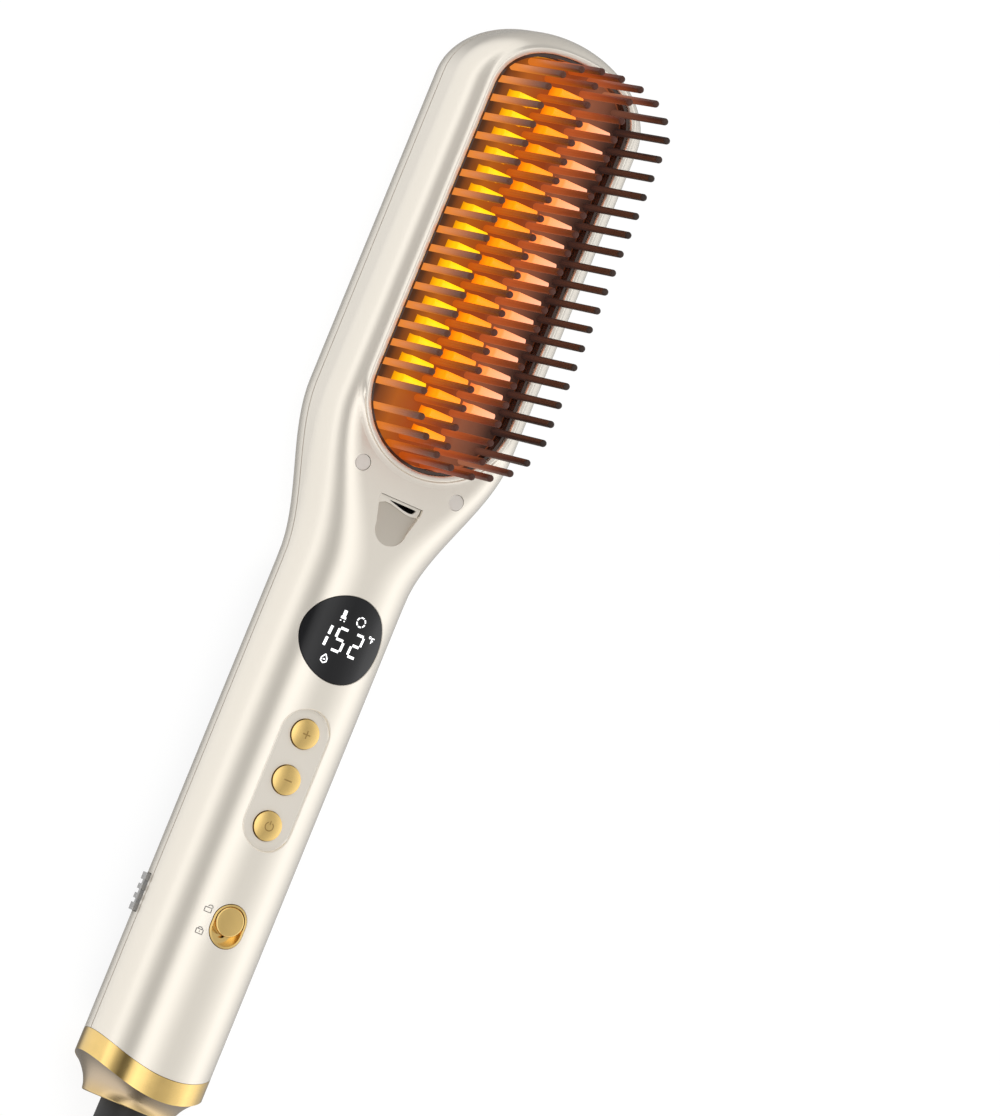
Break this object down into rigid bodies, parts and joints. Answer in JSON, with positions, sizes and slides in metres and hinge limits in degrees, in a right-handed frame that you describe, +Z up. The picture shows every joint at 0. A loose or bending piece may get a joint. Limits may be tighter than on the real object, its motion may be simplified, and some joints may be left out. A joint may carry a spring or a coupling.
{
  "type": "steam hair straightening brush",
  "caption": "Round-handled hair straightening brush with a heated toothed plate in a field of rigid bristles, steam scoop, display, buttons, lift-off water tank and corded swivel end.",
  "frame": {"origin": "bottom centre of the brush's own box, without the cord, lying on its back", "axes": "X across, +Y along the brush towards the head's tip, +Z up, the way the bristles point"},
  "size_m": [0.0609, 0.6173, 0.0636],
  "materials": {
    "cream_satin": "satin pearl",
    "cream_panel": "satin",
    "gold": "polished plated",
    "champagne": "metallic satin",
    "pocket_tan": "satin",
    "brown_frame": "dark, gloss",
    "glow_orange": "ceramic coated, lit from behind",
    "bristle_dark": "heat-proof nylon",
    "smoked": "smoked, clear",
    "display_black": "high gloss",
    "smoked_grip": "fine texture",
    "black_rubber": "satin",
    "cord_black": "satin",
    "white_tie": "satin",
    "nickel": "plated",
    "steel": "plain",
    "board_green": "solder mask",
    "parts_mixed": "components",
    "black_plastic": "satin",
    "grey_plastic": "satin",
    "silicone": "silicone",
    "cast_metal": "cast",
    "ceramic": "ceramic"
  },
  "bodies": {
    "housing": {"front_shell": "cream_satin", "rear_shell": "cream_satin", "rear_panel": "cream_panel", "plate_frame": "brown_frame", "heating_plate": "glow_orange", "bristle_field": "bristle_dark", "heater_bars": "ceramic", "heat_sensor": "ceramic", "heat_shield": "steel", "screw_covers": "pocket_tan", "case_screws": "steel", "steam_nozzle": "black_plastic", "steam_pipe": "silicone", "steam_generator": "cast_metal", "pressure_hose": "silicone", "pump": "grey_plastic", "suction_hose": "silicone", "tank_port": "grey_plastic", "display_lens": "display_black", "display_module": "black_plastic", "control_board": "board_green", "board_screws": "steel", "key_switches": "black_plastic", "button_plate": "pocket_tan", "switch_well": "gold", "slide_switch": "black_plastic", "main_board": "board_green", "power_parts": "parts_mixed", "tray_screws": "steel", "tank_seal": "black_rubber", "trim_ring": "gold", "sleeve": "grey_plastic", "end_cap": "champagne", "swivel_retainer": "grey_plastic", "cord_tube": "cord_black", "cord_hank": "cord_black", "cord_tie": "white_tie", "plug_body": "black_rubber", "plug_blades": "nickel"},
    "button_more": {"button_more": "gold"},
    "button_less": {"button_less": "gold"},
    "button_power": {"button_power": "gold"},
    "switch_knob": {"switch_knob": "gold"},
    "grip_left": {"grip_left": "smoked_grip"},
    "grip_right": {"grip_right": "smoked_grip"},
    "tank": {"tank_shell": "smoked", "tank_lid": "smoked"},
    "filler_plug": {"filler_plug": "gold"},
    "strain_relief": {"strain_relief": "black_rubber"}
  },
  "joints": [
    {"name": "more_press", "type": "slide", "parent": "housing", "child": "button_more", "axis": [0, 0, -1], "range_m": [0, 0.0005], "stiffness_N_per_m": 400, "springref_m": -0.0005},
    {"name": "less_press", "type": "slide", "parent": "housing", "child": "button_less", "axis": [0, 0, -1], "range_m": [0, 0.0005], "stiffness_N_per_m": 400, "springref_m": -0.0005},
    {"name": "power_press", "type": "slide", "parent": "housing", "child": "button_power", "axis": [0, 0, -1], "range_m": [0, 0.0005], "stiffness_N_per_m": 400, "springref_m": -0.0005},
    {"name": "switch_slide", "type": "slide", "parent": "housing", "child": "switch_knob", "axis": [0, -1, 0], "range_m": [0, 0.0025]},
    {"name": "grip_left_press", "type": "slide", "parent": "housing", "child": "grip_left", "axis": [1, 0, 0], "range_m": [0, 0.0014], "stiffness_N_per_m": 400, "springref_m": -0.0005},
    {"name": "grip_right_press", "type": "slide", "parent": "housing", "child": "grip_right", "axis": [-1, 0, 0], "range_m": [0, 0.0014], "stiffness_N_per_m": 400, "springref_m": -0.0005},
    {"name": "tank_lift", "type": "slide", "parent": "housing", "child": "tank", "axis": [0, 0, -1], "range_m": [0, 0.03]},
    {"name": "plug_pull", "type": "slide", "parent": "tank", "child": "filler_plug", "axis": [0, 0, -1], "range_m": [0, 0.007]},
    {"name": "cord_swivel", "type": "hinge", "parent": "housing", "child": "strain_relief", "pos_m": [0, -0.15, 0.0178], "axis": [0, 1, 0], "continuous": true}
  ]
}
